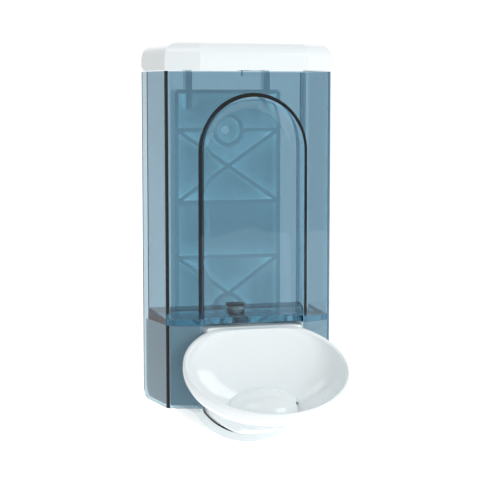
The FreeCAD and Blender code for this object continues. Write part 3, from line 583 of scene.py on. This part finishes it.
def pale_sweep(code):
    """Matt pale paper with painted light and shade: its colour is darkened towards the left as
    painted shade, and it glows by SWEEP_GLOW along X like a lamp.
    """
    material, tree, out = new_material("pale_floor")
    place = add(tree, "ShaderNodeTexCoord")
    axes = add(tree, "ShaderNodeSeparateXYZ", links={"Vector": (place, "Object")})
    share = add(tree, "ShaderNodeMapRange", inputs={"From Min": GLOW_LOW, "From Max": GLOW_HIGH},
                links={"Value": (axes, "X")})
    painted_glow = add(tree, "ShaderNodeValToRGB", links={"Fac": (share, "Result")})
    painted_glow.color_ramp.interpolation = "EASE"
    stops = painted_glow.color_ramp.elements
    while len(stops) < len(SWEEP_GLOW):
        stops.new(0.5)
    for stop, (x, strength) in zip(stops, SWEEP_GLOW):
        stop.position = (x - GLOW_LOW) / (GLOW_HIGH - GLOW_LOW)
        stop.color = (strength, strength, strength, 1.0)
    # Painted shade: the sweep's colour falls from full at X = 0.3 to 0.6 at X = -1.
    side = add(tree, "ShaderNodeMapRange", {"interpolation_type": "SMOOTHSTEP"},
               {"From Min": -1.0, "From Max": 0.3, "To Min": 0.6, "To Max": 1.0},
               {"Value": (axes, "X")})
    painted_shade_tone = add(tree, "ShaderNodeVectorMath", {"operation": "SCALE"}, {0: linear(code)[:3]},
               {"Scale": (side, "Result")})
    skin = add(tree, "ShaderNodeBsdfPrincipled",
               inputs={"Roughness": 1.0, "Specular IOR Level": 0.0,
                       "Emission Color": (1, 1, 1, 1)},
               links={"Base Color": (painted_shade_tone, "Vector"), "Emission Strength": (painted_glow, "Color")})
    tree.links.new(skin.outputs["BSDF"], out.inputs["Surface"])
    return material


def make_sweep(studio):
    """Floor and backdrop in one: flat, then a quarter circle, then upright, carried along X."""
    low = -studio.floor_drop
    angle = np.linspace(0, math.pi / 2, 25)
    y = np.concatenate([[SWEEP_FRONT], SWEEP_BACK - SWEEP_BEND + SWEEP_BEND * np.sin(angle),
                        [SWEEP_BACK]])
    z = np.concatenate([[low], low + SWEEP_BEND - SWEEP_BEND * np.cos(angle),
                        [low + SWEEP_TOP]])
    count = len(y)
    x = np.repeat([-SWEEP_HALF, SWEEP_HALF], count)
    points = np.stack([x, np.tile(y, 2), np.tile(z, 2)], axis=1)
    first = np.arange(count - 1)
    faces = np.stack([first, first + count, first + count + 1, first + 1], axis=1)
    mesh = bpy.data.meshes.new("floor")
    mesh.from_pydata(points.tolist(), [], faces.tolist())
    mesh.polygons.foreach_set("use_smooth", [True] * len(faces))
    item = bpy.data.objects.new("floor", mesh)
    bpy.context.scene.collection.objects.link(item)
    mesh.materials.append(pale_sweep(studio.floor_colour))


def make_lights():
    """A white world and two soft square lamps that aim at the tank."""
    world = bpy.data.worlds.new("surround")
    bpy.context.scene.world = world
    world.use_nodes = True
    sky = world.node_tree.nodes["Background"]
    sky.inputs["Color"].default_value = (1, 1, 1, 1)
    sky.inputs["Strength"].default_value = SURROUND
    for name, place, size, watts in LAMPS:
        data = bpy.data.lights.new(name, "AREA")
        data.size = size
        data.energy = watts
        item = bpy.data.objects.new(name, data)
        bpy.context.scene.collection.objects.link(item)
        item.location = place
        item.rotation_euler = (LAMP_AIM - Vector(place)).to_track_quat("-Z", "Y").to_euler()
    bpy.context.scene.view_settings.view_transform = "Standard"


# ---- operators --------------------------------------------------------------------------

class DISPENSER_OT_stage(bpy.types.Operator):
    """Camera, pale floor that sweeps up behind, soft lamps and a white surround."""
    bl_idname = "dispenser.stage"
    bl_label = "Stage"

    def execute(self, context):
        studio = context.scene.dispenser_studio
        make_camera(studio)
        make_sweep(studio)
        make_lights()
        return {"FINISHED"}


class DISPENSER_OT_finish(bpy.types.Operator):
    """Give every piece of the frame the finish of its real material, with a painted glow on the
    wall plate.
    """
    bl_idname = "dispenser.finish"
    bl_label = "Materials"

    def execute(self, context):
        finish = context.scene.dispenser_finish
        # Tinted SAN: see-through and glossy, dark along its edges.
        clear = tinted_san(finish.tint)
        # Moulded ABS from a polished tool: bright white with a clear, soft highlight.
        gloss = moulded("gloss_white_abs", finish.white, 0.12, 1.2, 0.01, coat=0.4)
        # Moulded ABS from an eroded tool: duller white with a faint grain.
        satin = moulded("satin_white_abs", finish.base_white, 0.35, 0.9, 0.03)
        # The same in the thin wall behind the tank, with painted light: it glows on all but its
        # rear, so that it looks lit through the tank and its ribs show.
        glowing_white = moulded("painted_glow_white_abs", finish.base_white, 0.35, 0.9, 0.03, painted_glow=0.29)
        # Moulded acetal: dull mid grey.
        acetal = moulded("grey_pom", "8A8F93", 0.38, 0.8, 0.03)
        # Natural polypropylene: milky, waxy white.
        natural = moulded("natural_pp", "DFE3E0", 0.42, 0.8, 0.03)
        # Nitrile rubber: matt black.
        rubber = moulded("black_nbr_rubber", "17181A", 0.55, 0.6, 0.05, ior=1.52)
        # Black polypropylene: satin black.
        black = moulded("black_pp", "1E2022", 0.45, 0.8, 0.03)
        # Turned stainless steel: bright, with fine lines.
        steel = brushed_steel()
        # Silicone rubber: milky and half clear.
        silicone = milky_silicone()
        looks = {}
        for material, nodes in (
                (clear, ("tank",)),
                (gloss, ("lid", "push_lever", "spout_hood")),
                (glowing_white, ("wall_plate",)),
                (satin, ("base_housing",)),
                (acetal, ("lock_barrel", "lock_cam")),
                (natural, ("pump_cylinder", "pump_cap", "piston", "inlet_pipe")),
                (rubber, ("port_gasket", "piston_ring")),
                (black, ("port_strainer",)),
                (steel, ("base_screws", "lever_pivot_pins", "lid_hinge_pin", "lock_screw",
                         "return_spring", "inlet_ball")),
                (silicone, ("valve_seat", "outlet_valve"))):
            looks.update({node: material for node in nodes})
        missing = set(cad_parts) - set(looks)
        if missing:
            raise RuntimeError("no material for " + ", ".join(sorted(missing)))
        for node, material in looks.items():
            dress(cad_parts[node], material)
        return {"FINISHED"}


class DISPENSER_OT_dish(bpy.types.Operator):
    """Push dish: a bowl joined to the lever's hollow body, with a slot for the pump's rod."""
    bl_idname = "dispenser.dish"
    bl_label = "Push dish"

    def execute(self, context):
        shape = DishShape(context.scene.dispenser_sizes)
        item = combine(make_bowl(shape), make_lever_body(shape), "UNION")
        smooth(combine(item, make_slot_tool(), "DIFFERENCE"))
        dress(item, bpy.data.materials["gloss_white_abs"])
        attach(item, "lever")
        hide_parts("push_lever")
        return {"FINISHED"}


class DISPENSER_OT_hood(bpy.types.Operator):
    """Spout hood: a thin dome over the pump's nozzle, open in a short slit at its right."""
    bl_idname = "dispenser.hood"
    bl_label = "Spout hood"

    def execute(self, context):
        sizes = context.scene.dispenser_sizes
        item = smooth(make_hood(DishShape(sizes), sizes.hood_wall, sizes.slit_height), 40.0)
        dress(item, bpy.data.materials["gloss_white_abs"])
        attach(item, "lever")
        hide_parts("spout_hood")
        return {"FINISHED"}


class DISPENSER_OT_spring(bpy.types.Operator):
    """Return spring: a round-wire coil about the pump's axis."""
    bl_idname = "dispenser.spring"
    bl_label = "Return spring"

    def execute(self, context):
        item = smooth(make_spring(context.scene.dispenser_sizes.spring_turns), 50.0)
        dress(item, bpy.data.materials["stainless_steel"])
        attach(item, "housing")
        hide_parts("return_spring")
        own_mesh(item)
        return {"FINISHED"}


OPERATORS = (DISPENSER_OT_stage, DISPENSER_OT_finish, DISPENSER_OT_dish, DISPENSER_OT_hood,
             DISPENSER_OT_spring)


class DISPENSER_PT_panel(bpy.types.Panel):
    """Sidebar panel with the settings and one button for each piece or group."""
    bl_idname = "DISPENSER_PT_panel"
    bl_label = "Wall soap dispenser"
    bl_space_type = "VIEW_3D"
    bl_region_type = "UI"
    bl_category = "Dispenser"

    def draw(self, context):
        scene = context.scene
        for group in (scene.dispenser_studio, scene.dispenser_finish, scene.dispenser_sizes):
            for name in group.__annotations__:
                self.layout.prop(group, name)
        for kind in OPERATORS:
            self.layout.operator(kind.bl_idname)


CLASSES = (DispenserStudio, DispenserFinish, DispenserSizes, *OPERATORS, DISPENSER_PT_panel)


def register():
    """Register the classes and hang the settings on the scene."""
    for kind in CLASSES:
        bpy.utils.register_class(kind)
    bpy.types.Scene.dispenser_studio = PointerProperty(type=DispenserStudio)
    bpy.types.Scene.dispenser_finish = PointerProperty(type=DispenserFinish)
    bpy.types.Scene.dispenser_sizes = PointerProperty(type=DispenserSizes)


def unregister():
    """Undo register."""
    del bpy.types.Scene.dispenser_sizes
    del bpy.types.Scene.dispenser_finish
    del bpy.types.Scene.dispenser_studio
    for kind in reversed(CLASSES):
        bpy.utils.unregister_class(kind)


def main():
    """Build the scene."""
    register()
    bpy.ops.dispenser.stage()
    bpy.ops.dispenser.finish()
    bpy.ops.dispenser.dish()
    bpy.ops.dispenser.hood()
    bpy.ops.dispenser.spring()


if __name__ == "__main__":
    main()
